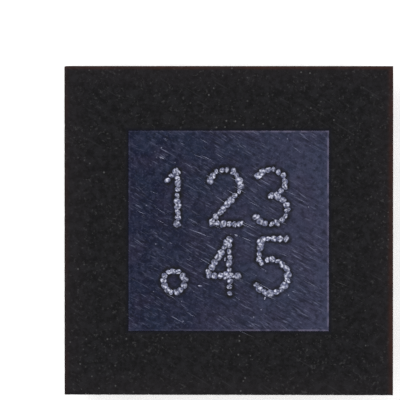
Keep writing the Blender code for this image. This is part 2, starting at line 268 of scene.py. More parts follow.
class Finish(Wiring):
    """One procedural material, drawn on the piece's own coordinates in millimetres."""

    def __init__(self, name, base, roughness=0.5, metallic=0.0, specular=0.5):
        self.material = bpy.data.materials.new(name)
        self.material.use_nodes = True
        super().__init__(self.material.node_tree)
        self.shader = self.tree.nodes["Principled BSDF"]
        self.base = base
        self.set("Base Color", base)
        self.set("Roughness", roughness)
        self.set("Metallic", metallic)
        self.set("Specular IOR Level", specular)

    def set(self, socket, value):
        """Give one of the shader's sockets a value or a node's output."""
        self.feed(self.shader.inputs[socket], value)

    def place(self, angle=0.0, stretch=1.0):
        """Position in millimetres, turned by an angle and drawn out along it."""
        here = self.node("TexCoord").outputs["Object"]
        scale = (MM * stretch, MM, MM)
        turned = self.node("Mapping", here, (0, 0, 0), (0, 0, angle), scale, vector_type="TEXTURE")
        return turned.outputs[0]

    def axis(self, name, angle=0.0):
        """One coordinate of the turned position, in millimetres."""
        return self.node("SeparateXYZ", self.place(angle)).outputs[name]

    def from_middle(self):
        """Distance from the chip's middle to the square through the position, in millimetres."""
        across, along = (self.calc("ABSOLUTE", self.axis(name)) for name in "XY")
        return self.calc("MAXIMUM", across, along)

    def noise(self, per_mm, detail=2.0, where=None, rough=0.5):
        """Soft noise with this many blotches to the millimetre."""
        where = where or self.place()
        return self.output("TexNoise", Vector=where, Scale=per_mm, Detail=detail, Roughness=rough)

    def grains(self, per_mm):
        """Distance from the middle of the nearest grain, in grains."""
        return self.output("TexVoronoi", Vector=self.place(), Scale=per_mm)

    def attribute(self, name):
        return self.node("Attribute", attribute_name=name).outputs["Fac"]

    def span(self, value, start, end, high=1.0, low=0.0):
        """Go from low to high, smoothly, as the value goes from start to end."""
        return self.node(
            "MapRange", value, start, end, low, high, interpolation_type="SMOOTHSTEP",
        ).outputs[0]

    def blend(self, share, low, high):
        """Colour that goes from low to high as the share goes from 0 to 1."""
        made = self.node("Mix", share, data_type="RGBA")
        self.feed(made.inputs[6], low)
        self.feed(made.inputs[7], high)
        return made.outputs[2]

    def lay(self, colour, share, *ends):
        """Lay a colour over the base by a share, or by the span of a value."""
        if ends:
            share = self.span(share, *ends)
        self.base = self.blend(share, self.base, colour)
        self.set("Base Color", self.base)

    def roughen(self, value, low, high):
        """Roughness from low to high over the main reach of a noise."""
        self.set("Roughness", self.span(value, 0.3, 0.7, high, low))

    def bump(self, height, depth):
        """Relief of this depth in metres."""
        self.set("Normal", self.output("Bump", Strength=1.0, Distance=depth, Height=height))


def put(name, data):
    """New object in the scene."""
    made = bpy.data.objects.new(name, data)
    bpy.context.scene.collection.objects.link(made)
    return made


def add_piece(mesh, finishes, slot, *nodes):
    """Put a piece on the chip and let it stand for these nodes of the model."""
    for finish in finishes:
        mesh.materials.append(finish.material)
    piece = put(mesh.name, mesh)
    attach(piece, "root")
    if nodes:
        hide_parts(*nodes)


def dress(finish, *nodes):
    """Give this finish to nodes of the model that keep their own shape."""
    for node in nodes:
        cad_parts[node].material_slots[0].material = finish.material


def mesh_of(name, points, faces, kinds=None, smooth_below=35):
    """Mesh with one material index for each face, shaded smooth up to an angle."""
    mesh = bpy.data.meshes.new(name)
    mesh.from_pydata([tuple(point) for point in points], [], faces)
    if kinds is not None:
        mesh.polygons.foreach_set("material_index", kinds)
    mesh.update()
    mesh.shade_smooth()
    mesh.set_sharp_from_angle(angle=radians(smooth_below))
    return mesh


def give_attribute(mesh, name, values):
    """Store one number for each point of the mesh."""
    mesh.attributes.new(name, "FLOAT", "POINT").data.foreach_set("value", values)


def grid_lines(stops, cell):
    """Places from the first stop to the last, with every stop and an even step between."""
    lines = [stops[0]]
    for near, far in zip(stops, stops[1:]):
        steps = max(1, round((far - near) / cell))
        lines += [near + (far - near) * step / steps for step in range(1, steps + 1)]
    return lines


def pairs_round(ring):
    """Each member of a closed ring with the one after it."""
    return zip(ring, ring[1:] + ring[:1])


def block_with_hole(lines, hole, low, high):
    """Square block on a grid, without the cells that have row and column in the hole.

    Gives its points, its faces and for each face 0 on top, 1 at a side and 2 below.
    """
    points, index, faces, kinds = [], {}, [], []

    def corner(i, j, level):
        key = (i, j, level)
        if key not in index:
            index[key] = len(points)
            points.append([lines[i], lines[j], (low, high)[level]])
        return index[key]

    cells = range(len(lines) - 1)
    solid = {(i, j) for i in cells for j in cells if i not in hole or j not in hole}
    for i, j in sorted(solid):
        around = [(i, j), (i + 1, j), (i + 1, j + 1), (i, j + 1)]
        faces.append([corner(*place, 1) for place in around])
        kinds.append(0)
        faces.append([corner(*place, 0) for place in around[::-1]])
        kinds.append(2)
        beyond = [(i, j - 1), (i + 1, j), (i, j + 1), (i - 1, j)]
        for (near, far), neighbour in zip(pairs_round(around), beyond):
            if neighbour not in solid:
                faces.append([corner(*near, 0), corner(*far, 0), corner(*far, 1), corner(*near, 1)])
                kinds.append(1)
    return np.array(points), faces, kinds


def mould_top_finish(looks):
    """Ground compound: near black, mottled, with cut filler grains, faint scratches, a dark seam with
    painted shade round the die and painted warm light along the back and right edges.
    """
    finish = Finish("ground_compound", shade(6, 6, 7), specular=0.10)
    mottle = finish.noise(34, 3, rough=0.6)
    cloud = finish.noise(13, 3)
    flecks = finish.span(finish.noise(42), 0.58, 0.72)
    grains = finish.times(flecks, finish.span(finish.noise(6), 0.36, 0.62, 1.0, 0.25))
    sparks = finish.span(finish.grains(14), 0.15, 0.08)
    spark_field = finish.span(finish.noise(2.2, 1), 0.46, 0.66, 0.42)
    streaks = finish.noise(46, 1, finish.place(radians(-31), 14))
    finish.lay(looks.top, mottle, 0.34, 0.66)
    finish.lay(shade(33, 33, 36), cloud, 0.46, 0.70, 0.55)
    finish.lay(shade(5, 5, 7), cloud, 0.46, 0.28, 0.75)
    finish.lay(shade(64, 64, 67), streaks, 0.66, 0.78, 0.20)
    finish.lay(looks.filler, finish.times(grains, 0.16))
    finish.lay(looks.filler, finish.times(sparks, spark_field))

    half, window = MOULD_HALF / MM, DIE_HALF / MM
    away = finish.from_middle()
    finish.lay(shade(50, 44, 47), away, half - 0.30, half - 0.03, 0.14)
    # Darker bluish band on the mould round the die: a dark seam, with painted shade in the gap beside the
    # die
    finish.lay(shade(10, 11, 22), away, window + 0.010, window + 0.034, 0.0, 0.72)
    # Warm brown band along the back and right edges, fainter at the left: painted light where the light
    # falls on these edges
    behind = finish.span(finish.axis("Y"), half - 0.040, half - 0.004)
    right = finish.span(finish.axis("X"), half - 0.066, half - 0.004)
    left = finish.span(finish.axis("X"), 0.060 - half, 0.004 - half, 0.35)
    lit_edge_band = finish.calc("MAXIMUM", finish.calc("MAXIMUM", behind, right), left)
    patchy = finish.span(finish.noise(5), 0.25, 0.70, 0.70, 0.30)
    finish.lay(shade(62, 33, 24), finish.times(lit_edge_band, patchy))
    finish.roughen(mottle, 0.52, 0.74)
    finish.bump(finish.calc("SUBTRACT", mottle, grains), 1.1 * MICRON)
    return finish


def mould_wall_finish(looks):
    """Sawn compound: warm brown, with saw lines and cut filler."""
    finish = Finish("sawn_compound", shade(31, 23, 22), specular=0.12)
    across = finish.node("Mapping", finish.place(), (0, 0, 0), (0, 0, 0), (0.6, 0.6, 7.0))
    lines = finish.noise(14, 2, across.outputs[0])
    mottle = finish.noise(20, 3)
    flecks = finish.span(finish.grains(34), 0.34, 0.22)
    grains = finish.times(flecks, finish.span(mottle, 0.4, 0.6))
    finish.lay(looks.wall, mottle, 0.3, 0.7)
    finish.lay(shade(62, 41, 34), lines, 0.45, 0.75, 0.30)
    finish.lay(shade(120, 106, 98), finish.times(grains, 0.35))
    finish.roughen(mottle, 0.82, 0.96)
    finish.bump(finish.calc("ADD", lines, grains), 1.5 * MICRON)
    return finish


def mould_street_finish(looks):
    """Bare compound of the saw street: brownish grey and speckled."""
    finish = Finish("street_compound", shade(66, 57, 56), roughness=0.62, specular=0.3)
    mottle = finish.noise(34, 3)
    grains = finish.span(finish.grains(60), 0.36, 0.2)
    finish.lay(looks.street, mottle, 0.3, 0.7)
    finish.lay(shade(150, 142, 138), finish.times(grains, 0.4))
    finish.bump(finish.calc("ADD", mottle, grains), 1.5 * MICRON)
    return finish


# Waves on the mould's top and bites in its edge, counted to the metre, and the waves' depth
WAVES, BITES = 9000, 42000
WAVE_DEPTH = 0.8 * MICRON


def make_mould(looks):
    """Mould frame with worn top edges, a chipped outer edge and a fine wavy top."""
    half, window = MOULD_HALF, DIE_HALF + 2 * MICRON
    bevel = looks.bevel
    stops = [-half, bevel - half, -window - bevel, -window, window, window + bevel, half - bevel, half]
    lines = grid_lines(stops, looks.cell)
    hole = range(lines.index(-window), lines.index(window))
    points, faces, kinds = block_with_hole(lines, hole, BODY_BOTTOM, TOP)
    top = points[:, 2] == TOP
    reach = np.abs(points[:, :2]).max(1)
    wave = np.array([noise.noise(Vector(point) * WAVES) for point in points])
    ragged = np.array([noise.noise(Vector(point) * BITES + Vector((7, 3, 1))) for point in points])
    bites = np.maximum(ragged, 0)
    outer = top & (reach > half - TOUCH)
    seam = top & (np.abs(reach - window) < TOUCH)
    inside = top & ~outer & ~seam
    points[inside, 2] += np.minimum(wave[inside] * WAVE_DEPTH, 0)
    points[outer, 2] -= bevel * (0.7 + bites[outer])
    points[seam, 2] -= bevel * 0.4
    points[outer, :2] *= 1 - bites[outer, None] * looks.chips / half
    mesh = mesh_of("ground_mould", points, faces, kinds, 50)
    finishes = [mould_top_finish(looks), mould_wall_finish(looks), mould_street_finish(looks)]
    add_piece(mesh, finishes, "moulding_compound", "mould_frame")


def arc(x, y, wide, high, start, end):
    """Points along part of an ellipse, from one angle in degrees to another."""
    steps = max(2, round(abs(end - start) / 12))
    angles = [radians(start + (end - start) * step / steps) for step in range(steps + 1)]
    return [(x + wide * cos(angle), y + high * sin(angle)) for angle in angles]


# Strokes of the counting digits, in a cell that is 1 wide and 1 high
DIGITS = {
    "1": [[(0.22, 0.80), (0.52, 1.0), (0.52, 0.0)]],
    "2": [arc(0.5, 0.72, 0.5, 0.28, 165, -28) + [(0.02, 0.0), (1.0, 0.0)]],
    "3": [arc(0.46, 0.76, 0.46, 0.24, 150, -90), arc(0.46, 0.26, 0.54, 0.26, 84, -150)],
    "4": [[(0.74, 0.0), (0.74, 1.0), (0.0, 0.32), (1.0, 0.32)]],
    "5": [[(0.94, 1.0), (0.14, 1.0), (0.08, 0.56)] + arc(0.46, 0.31, 0.54, 0.31, 122, -150)],
}

# Place of each digit's cell on the die, as the middle of its foot, in millimetres
DIGIT_PLACES = {
    "1": (-0.478, 0.066), "2": (-0.035, 0.066), "3": (0.400, 0.066),
    "4": (-0.060, -0.574), "5": (0.400, -0.574),
}

# Middle of the index ring on the die, in millimetres
RING_PLACE = (-0.505, -0.468)

# Drops of spatter beside the marks, in millimetres: place, length and slope in degrees
SPATTER = (
    (-0.618, 0.674, 0.050, -20), (0.070, -0.040, 0.042, -22), (-0.263, -0.509, 0.040, -8),
    (-0.034, -0.261, 0.036, 75), (0.334, -0.623, 0.030, 80),
)


def walk(stroke, step):
    """Points at an even step along a stroke, with one at each end."""
    lengths = [dist(near, far) for near, far in zip(stroke, stroke[1:])]
    total = sum(lengths)
    count = max(1, round(total / step))
    found = []
    for number in range(count + 1):
        left = total * number / count
        for near, far, length in zip(stroke, stroke[1:], lengths):
            if left <= length or far is stroke[-1]:
                share = min(1.0, left / length)
                found.append((near[0] + (far[0] - near[0]) * share, near[1] + (far[1] - near[1]) * share))
                break
            left -= length
    return found


def dot_places(looks):
    """Middles of all the burnt dots: the index ring and the digits."""
    x, y = (place * MM for place in RING_PLACE)
    places = walk(arc(x, y, looks.ring / 2, looks.ring / 2, 232, -105), looks.pitch * 0.92)
    for digit, strokes in DIGITS.items():
        x, y = DIGIT_PLACES[digit]
        for stroke in strokes:
            path = [
                (x * MM + (across - 0.5) * looks.width, y * MM + up * looks.height)
                for across, up in stroke
            ]
            places += walk(path, looks.pitch)
    chance = random.Random(11)
    shake = looks.pitch * 0.10
    return [(x + chance.uniform(-shake, shake), y + chance.uniform(-shake, shake)) for x, y in places]


# Sets of grinding streaks: turn in degrees, streaks to the millimetre across and their
# stretch, the noise level from which they show, and their strength
STREAKS = (
    (0.0, 60, 8, 0.60, 0.33), (8.0, 50, 6, 0.63, 0.36), (-8.0, 64, 9, 0.63, 0.36),
    (-1.0, 46, 16, 0.67, 0.50),
)


def die_finish(looks):
    """Ground silicon: navy to purple grey, with streaks, a painted highlight on its rim, and dark burnt
    rings round the dots that are partly painted shade.
    """
    finish = Finish("ground_silicon_back", looks.left, specular=0.12)
    half = DIE_HALF / MM
    across = finish.axis("X", radians(-7))
    wander = finish.calc("MULTIPLY_ADD", finish.noise(1.3), 0.5, across)
    finish.lay(looks.right, wander, 0.25 - half, half + 0.50)
    tint = finish.noise(5, 1)
    finish.lay(shade(62, 50, 72), tint, 0.48, 0.70, 0.19)
    finish.lay(shade(36, 54, 76), tint, 0.52, 0.30, 0.20)
    mottle = finish.noise(24, 3)
    finish.lay(shade(66, 68, 92), mottle, 0.40, 0.75, 0.16)
    finish.lay(shade(92, 96, 124), finish.noise(58), 0.50, 0.72, 0.22)
    finish.lay(shade(11, 13, 26), mottle, 0.52, 0.28, 0.48)
    finish.lay(shade(86, 88, 114), finish.noise(12, 3), 0.46, 0.70, 0.13)
    finish.lay(shade(18, 19, 34), finish.noise(44), 0.58, 0.72, 0.50)

    busy = finish.span(finish.noise(2.6), 0.36, 0.64, 1.25, 0.25)
    relief = mottle
    for turn, per_mm, stretch, edge, weight in STREAKS:
        where = finish.place(looks.grinding + radians(turn), stretch)
        streaks = finish.noise(per_mm, 2, where, 0.6)
        groove = finish.span(streaks, 0.46, 0.36, weight * 0.9)
        streak = finish.span(streaks, edge, edge + 0.10, weight)
        finish.lay(shade(16, 18, 34), finish.times(groove, busy))
        finish.lay(looks.scratch, finish.times(streak, busy))
        relief = finish.calc("SUBTRACT", relief, streaks)
    specks = finish.span(finish.grains(14), 0.11, 0.04)
    speck_field = finish.span(finish.noise(3, 1), 0.50, 0.60, 0.60)
    finish.lay(shade(160, 162, 184), finish.times(specks, speck_field))
    # Dark ring round each burnt dot: burn marks with painted shade in the hollow round the raised dot
    uneven_burn_shade = finish.span(finish.noise(22), 0.30, 0.62, 1.0, 0.45)
    finish.lay(looks.scorch_and_shade, finish.times(finish.attribute("scorch_and_shade"), uneven_burn_shade))
    # Bright line along the die's edge: a painted highlight, strongest on the right where the light falls
    rim = finish.span(finish.from_middle(), half - 0.024, half - 0.008)
    ragged = finish.span(finish.noise(16), 0.36, 0.62, 0.62, 0.12)
    lit = finish.span(finish.axis("X"), -half, half, 0.95, 0.10)
    finish.lay(looks.edge, finish.times(rim, ragged, lit))
    finish.roughen(mottle, 0.34, 0.50)
    finish.bump(relief, 0.7 * MICRON)
    return finish


def silicon_side_finish():
    """Sawn sides and the hidden face of the die."""
    finish = Finish("sawn_silicon", shade(40, 42, 56), roughness=0.4)
    lines = finish.noise(20)
    finish.lay(shade(76, 78, 92), lines)
    finish.bump(lines, 1.0 * MICRON)
    return finish


def nearest_of(points, spots):
    """Distance from each spot to the nearest of the points."""
    return np.min([np.hypot(*(spots - np.array(point)).T) for point in points], axis=0)


# Depth of the hollow round each burnt dot
HOLLOW = 1.2 * MICRON


def make_die(looks, marks):
    """Die with a rubbed bevel round its edge, and a hollow round each of the dots that is burnt dark with
    painted shade.
    """
    inner = DIE_HALF - looks.bevel
    lines = grid_lines([-DIE_HALF, -inner, inner, DIE_HALF], looks.cell)
    side = len(lines)
    spots = np.array([(x, y) for y in lines for x in lines])
    radius = marks.dot / 2
    from_dots = nearest_of(dot_places(marks), spots)
    # Ring round each dot: a shallow hollow, which the finish darkens with burn marks and painted shade
    scorch_and_shade = np.clip((radius * 1.9 - from_dots) / (radius * 0.85), 0, 1)
    z = TOP - HOLLOW * scorch_and_shade
    z[np.abs(spots).max(1) > DIE_HALF - TOUCH] = TOP - looks.bevel * 0.8

    top = np.column_stack([spots, z])
    index = np.arange(side * side).reshape(side, side)
    ring = np.concatenate([index[0], index[1:, -1], index[-1, -2::-1], index[-2:0:-1, 0]]).tolist()
    foot = top[ring]
    foot[:, 2] = BODY_BOTTOM
    faces = [
        [near, near + 1, near + side + 1, near + side] for near in index[:-1, :-1].ravel().tolist()
    ]
    kinds = [0] * len(faces) + [1] * (len(ring) + 1)
    below = list(range(len(top), len(top) + len(ring)))
    for (near, far), (low, after) in zip(pairs_round(ring), pairs_round(below)):
        faces.append([low, after, far, near])
    faces.append(below[::-1])
    mesh = mesh_of("ground_die", np.vstack([top, foot]), faces, kinds, 50)
    give_attribute(mesh, "scorch_and_shade", np.append(scorch_and_shade, np.zeros(len(foot))))
    finishes = [die_finish(looks), silicon_side_finish()]
    add_piece(mesh, finishes, "ground_silicon", "silicon_die")


def mark_finish(looks):
    """Frosted silicon of a burnt dot: a painted white highlight in the middle, grey in its pits."""
    finish = Finish("frosted_silicon", shade(54, 57, 80), specular=0.3)
    grit = finish.noise(38)
    # Painted white highlight on the raised middle of the dot
    crest_highlight = finish.times(finish.attribute("crest_highlight"), finish.span(grit, 0.30, 0.55, 1.0, 0.5))
    finish.lay(looks.colour, grit, 0.36, 0.62)
    finish.lay(shade(230, 232, 250), crest_highlight)
    finish.bump(grit, 1.6 * MICRON)
    return finish


# Rings of a burnt drop from its rim inward, as shares of its reach and of its height
DROP_RINGS = ((1.0, 0.0), (0.82, 0.60), (0.58, 1.0), (0.30, 0.72))
DROP_FOOT = TOP - 1.4 * MICRON
DOT_HEIGHT = 5 * MICRON
SPATTER_HEIGHT = 4 * MICRON


def lump(points, faces, crest_highlights, place, reach_x, reach_y, slope, height, chance, facets=16):
    """Add one frosted drop: a closed low mound with a ragged outline and a pitted middle."""
    first = len(points)
    turn = Matrix.Rotation(slope, 2)
    seed = Vector((chance.random() * 50, chance.random() * 50, 0))
    glint = chance.uniform(0.50, 1.25)
    for share, level in DROP_RINGS:
        for number in range(facets):
            angle = tau * number / facets
            way = Vector((cos(angle), sin(angle), 0))
            ragged = 1 + 0.30 * noise.noise(seed + way * 1.3)
            rough = 1 + 0.55 * noise.noise(seed + way * share * 2.6)
            spot = turn @ Vector((way.x * reach_x, way.y * reach_y)) * share * ragged
            rise = height * level * rough
            points.append((place[0] + spot.x, place[1] + spot.y, DROP_FOOT + rise))
            # Strength of the painted highlight at this point of the drop
            lit = 0.30 + 2.6 * noise.noise(seed * 1.7 + way * share * 1.7)
            crest_highlights.append(min(1.0, max(0.0, lit) * level * glint))
    middle = len(points)
    points.append((*place, DROP_FOOT + height * 0.35))
    crest_highlights.append(chance.uniform(0.0, 0.7))
    for number in range(facets):
        after = (number + 1) % facets
        for near in range(first, middle - facets, facets):
            far = near + facets
            faces.append([near + number, near + after, far + after, far + number])
        last = middle - facets
        faces.append([last + number, last + after, middle])
    faces.append(list(range(first, first + facets))[::-1])


def make_marks(looks):
    """Burnt dots of the index ring and the digits, and the spatter beside them."""
    chance = random.Random(5)
    drops = points, faces, crest_highlights = [], [], []
    for place in dot_places(looks):
        reach = looks.dot / 2 * chance.uniform(0.76, 1.12)
        squash = chance.uniform(0.66, 1.0)
        lump(*drops, place, reach, reach * squash, chance.uniform(0, 3), DOT_HEIGHT, chance)
    for x, y, length, slope in SPATTER:
        place, reach = (x * MM, y * MM), length * MM / 2
        lump(*drops, place, reach, 8 * MICRON, radians(slope), SPATTER_HEIGHT, chance, 12)
    mesh = mesh_of("burnt_marks", points, faces, smooth_below=60)
    give_attribute(mesh, "crest_highlight", crest_highlights)
    add_piece(mesh, [mark_finish(looks)], "ground_silicon")


# The few long scratches that catch the eye: start and end in millimetres, width in microns
LONG_SCRATCHES = (
    ((-0.413, 0.032), (-0.128, -0.078)), ((0.093, -0.051), (0.240, -0.106)),
    ((0.940, -0.446), (1.142, -0.529)), ((0.084, -0.915), (0.277, -0.998)),
)
LONG_WIDTH = 3.4
BURR_FOOT = TOP - 0.4 * MICRON
BURR_HEIGHT = 1.4 * MICRON


def make_scratches(looks):
    """Deeper scratches, each a thin raised burr that tapers to both ends."""
    chance = random.Random(23)
    runs = [[Vector(end) * MM for end in ends] for ends in LONG_SCRATCHES]
    inside = DIE_HALF - 20 * MICRON
    while len(runs) < len(LONG_SCRATCHES) + looks.scratches:
        start = Vector((chance.uniform(-inside, inside), chance.uniform(-inside, inside)))
        slope = looks.grinding + radians(chance.gauss(0, 4))
        end = start + Vector((cos(slope), sin(slope))) * chance.uniform(0.05, 0.24) * MM
        if max(abs(end.x), abs(end.y)) < inside:
            runs.append([start, end])
    points, faces = [], []
    for number, (start, end) in enumerate(runs):
        long = number < len(LONG_SCRATCHES)
        wide = (LONG_WIDTH if long else chance.uniform(1.2, 2.4)) * MICRON
        way = (end - start).normalized()
        side = Vector((-way.y, way.x)) * wide
        middle = (start + end) / 2 + side * chance.uniform(-2, 2)
        first = len(points)
        for spot in (start, middle - side, end, middle + side):
            points.append((spot.x, spot.y, BURR_FOOT))
        points.append((middle.x, middle.y, BURR_FOOT + BURR_HEIGHT))
        corners = list(range(first, first + 4))
        faces += [[near, far, first + 4] for near, far in pairs_round(corners)]
        faces.append(corners[::-1])
    finish = Finish("raised_burr", shade(50, 50, 52), roughness=0.4, specular=0.3)
    silicon = finish.blend(finish.noise(30), looks.scratch, shade(158, 162, 186))
    finish.lay(silicon, finish.attribute("on_die"))
    mesh = mesh_of("deep_scratches", points, faces)
    give_attribute(mesh, "on_die", [max(abs(x), abs(y)) < DIE_HALF for x, y, _ in points])
    add_piece(mesh, [finish], "ground_silicon")


def outline_of(node):
    """Segments round the underside of a copper net, with the arcs of its lands made round."""
    drawing = bmesh.new()
    drawing.from_mesh(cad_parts[node].data)
    bmesh.ops.remove_doubles(drawing, verts=drawing.verts, dist=0.05 * MICRON)
    low = min(vertex.co.z for vertex in drawing.verts)
    under = {
        face for face in drawing.faces
        if all(vertex.co.z < low + 0.5 * MICRON for vertex in face.verts)
    }
    segments = []
    for edge in drawing.edges:
        if sum(face in under for face in edge.link_faces) != 1:
            continue
        ends = [vertex.co.to_2d() for vertex in edge.verts]
        centre = min(SPOTS, key=lambda spot: (spot - ends[0]).length)
        on_land = all(abs((end - centre).length - LAND_RADIUS) < 0.6 * MICRON for end in ends)
        parts = 4 if on_land else 1
        stops = [ends[0].lerp(ends[1], number / parts) for number in range(parts + 1)]
        if on_land:
            stops = [centre + (stop - centre).normalized() * LAND_RADIUS for stop in stops]
        segments += zip(stops, stops[1:])
    drawing.free()
    return segments


def distance_from(segments, spots):
    """Shortest distance from each spot to the segments."""
    nearest = np.full(len(spots), np.inf)
    for near, far in segments:
        start = np.array(near)
        step = np.array(far) - start
        share = np.clip((spots - start) @ step / (step @ step), 0, 1)
        nearest = np.minimum(nearest, np.hypot(*(spots - start - share[:, None] * step).T))
    return nearest


def lies_within(segments, spots):
    """Whether each spot lies inside the closed outlines, by counting crossings."""
    x, y = spots.T
    inside = np.zeros(len(spots), bool)
    for near, far in segments:
        if near.y != far.y:
            reach = near.x + (far.x - near.x) * (y - near.y) / (far.y - near.y)
            inside ^= ((near.y > y) != (far.y > y)) & (x < reach)
    return inside


def rows_along(segments, offsets, step):
    """Spots at each of these distances to both sides of the segments."""
    spots = []
    for near, far in segments:
        way = far - near
        if way.length < 1 * MICRON:
            continue
        side = Vector((-way.y, way.x)).normalized()
        parts = max(1, round(way.length / step))
        for number in range(parts):
            middle = near.lerp(far, (number + 0.5) / parts)
            for offset in offsets:
                spots += [middle + side * offset, middle - side * offset]
    return spots


def circle(centre, radius, facets):
    """Points round a circle."""
    angles = [tau * number / facets for number in range(facets)]
    return [centre + Vector((cos(angle), sin(angle))) * radius for angle in angles]


def film_finish(looks):
    """Glossy stop film: clear at the copper's edges, orange-brown over its middle, which on the lands is
    also painted shade of the balls, else black.
    """
    finish = Finish("stop_film", looks.black, specular=0.12)
    over = finish.attribute("over_copper")
    lively = finish.span(finish.noise(4.5, 3), 0.46, 0.66)
    cloud = finish.span(finish.noise(26, 3), 0.44, 0.70, 0.75)
    cloud = finish.times(cloud, finish.calc("MULTIPLY_ADD", lively, 0.62, 0.38))
    patches = finish.span(finish.noise(30, 1), 0.38, 0.60, 0.90, 0.12)
    dust = finish.times(finish.span(finish.grains(48), 0.36, 0.14), lively, patches)
    ragged = finish.span(finish.noise(20, 3), 0.38, 0.60, 0.92, 0.12)
    rim = finish.times(finish.attribute("rim"), ragged)
    finish.lay(shade(62, 55, 52), cloud)
    # Orange-brown over the middle of the copper: the film's tint, and on the lands painted shade of the
    # ball
    finish.lay(looks.amber_and_ball_shade, over)
    finish.lay(looks.dust, dust)
    finish.lay(looks.rim, rim)

    # How far the orange-brown covers the copper, most deep inside it, which on the lands is next to the
    # ball
    cover_over_copper = finish.span(finish.attribute("depth"), 0.10, 1.0, 0.74, 0.05)
    beside = finish.times(finish.calc("SUBTRACT", 1.0, over), 0.94)
    film = finish.calc("ADD", finish.times(over, cover_over_copper), beside)
    dirt = finish.calc("MAXIMUM", dust, rim)
    finish.set("Alpha", finish.calc("MAXIMUM", film, dirt))
    finish.roughen(finish.noise(30), 0.16, 0.36)
    finish.bump(finish.calc("ADD", finish.noise(22), dust), 1.2 * MICRON)
    return finish


# Width of the film's ragged rim, how far the film draws back there and at its openings,
# and the rows of mesh points along each edge of the copper
FILM_RIM = 9 * MICRON
RIM_LIFT = 9 * MICRON
OPENING_LIFT = 2.5 * MICRON
COPPER_ROWS = (1.2 * MICRON, 7 * MICRON, 12.5 * MICRON, 19 * MICRON)
OPENING_FACETS = 48


def film_drawing(outline):
    """Spots and edges that the film's mesh keeps: rim, openings and edges of the copper."""
    half = STOP_HIGH.x
    loops = []
    for reach in (half, half - FILM_RIM, half - 1.3 * FILM_RIM):
        side = grid_lines([-reach, reach], 24 * MICRON)[:-1]
        loop = [Vector((x, -reach)) for x in side] + [Vector((reach, y)) for y in side]
        loops.append(loop + [-corner for corner in loop])
    for spot in SPOTS:
        for radius in (OPENING_RADIUS, OPENING_RADIUS + 3 * MICRON):
            loops.append(circle(spot, radius, OPENING_FACETS))
    spots, edges = [], []
    for loop in loops:
        edges += pairs_round(list(range(len(spots), len(spots) + len(loop))))
        spots += loop
    for spot in rows_along(outline, COPPER_ROWS, 13 * MICRON):
        clear = min((ball - spot).length for ball in SPOTS) > OPENING_RADIUS + 5 * MICRON
        if clear and max(abs(spot.x), abs(spot.y)) < half - 2 * FILM_RIM:
            spots.append(spot)
    return spots, edges


def make_film(looks):
    """Stop film: it swells over the copper, dips between, and opens round each ball."""
    outline = [segment for net in COPPER_NETS for segment in outline_of(net)]
    drawing = film_drawing(outline)
    found, _, triangles = geometry.delaunay_2d_cdt(*drawing, [], 0, 0.2 * MICRON)[:3]
    plan = np.array([tuple(spot) for spot in found])
    middles = np.array([plan[list(triangle)].mean(0) for triangle in triangles])
    kept = nearest_of(SPOTS, middles) > OPENING_RADIUS * 0.999
    faces = [list(triangle)[::-1] for triangle, stays in zip(triangles, kept) if stays]

    gap = distance_from(outline, plan)
    signed = np.where(lies_within(outline, plan), gap, -gap)
    swell = np.clip((signed + 7 * MICRON) / (8 * MICRON), 0, 1)
    from_rim = STOP_HIGH.x - np.abs(plan).max(1)
    at_ball = nearest_of(SPOTS, plan) < OPENING_RADIUS + 1 * MICRON
    z = STOP_LOW.z + looks.swell * (1 - swell)
    z[from_rim < 0.5 * MICRON] = STOP_LOW.z + RIM_LIFT
    z[at_ball] = STOP_LOW.z + OPENING_LIFT

    points = [(x, y, level) for (x, y), level in zip(plan, z)]
    borders = dict.fromkeys(pair for a, b, c in faces for pair in ((a, b), (b, c), (c, a)))
    open_edges = [(near, far) for near, far in borders if (far, near) not in borders]
    lifted = {}
    for near, _ in open_edges:
        lifted[near] = len(points)
        points.append((*plan[near], BALL_TOP + 1.5 * MICRON if at_ball[near] else STOP_HIGH.z))
    faces += [[far, near, lifted[near], lifted[far]] for near, far in open_edges]

    mesh = mesh_of("swelling_stop_film", points, faces, smooth_below=70)
    walls = np.ones(len(points) - len(plan))
    for name, values, at_walls in (
        ("over_copper", np.clip(signed / (1.2 * MICRON), 0, 1), 0.0),
        ("depth", np.clip(signed / MICRON / 8 - 1.6, 0, 1), 0.0),
        ("rim", from_rim < 1.1 * FILM_RIM, 0.4),
    ):
        give_attribute(mesh, name, np.append(values, walls * at_walls))
    add_piece(mesh, [film_finish(looks)], "solder_stop_polymer", "solder_stop")


def make_inner_film(looks):
    """Black film behind the copper, which keeps the model's own shape."""
    finish = Finish("black_film", shade(12, 12, 12), roughness=0.3, specular=0.4)
    cloud = finish.noise(12, 3)
    finish.lay(looks.black, cloud)
    finish.bump(cloud, 1.0 * MICRON)
    dress(finish, "inner_film")


def make_copper(looks):
    """Plated copper on the model's own nets: salmon, finely grained."""
    finish = Finish("plated_salmon_copper", shade(244, 166, 134), metallic=0.7)
    grain = finish.noise(85)
    finish.lay(looks.colour, finish.noise(9), 0.3, 0.7)
    finish.lay(shade(250, 190, 160), grain, 0.55, 0.8, 0.4)
    finish.roughen(grain, 0.24, 0.44)
    finish.bump(grain, 0.8 * MICRON)
    dress(finish, *COPPER_NETS)


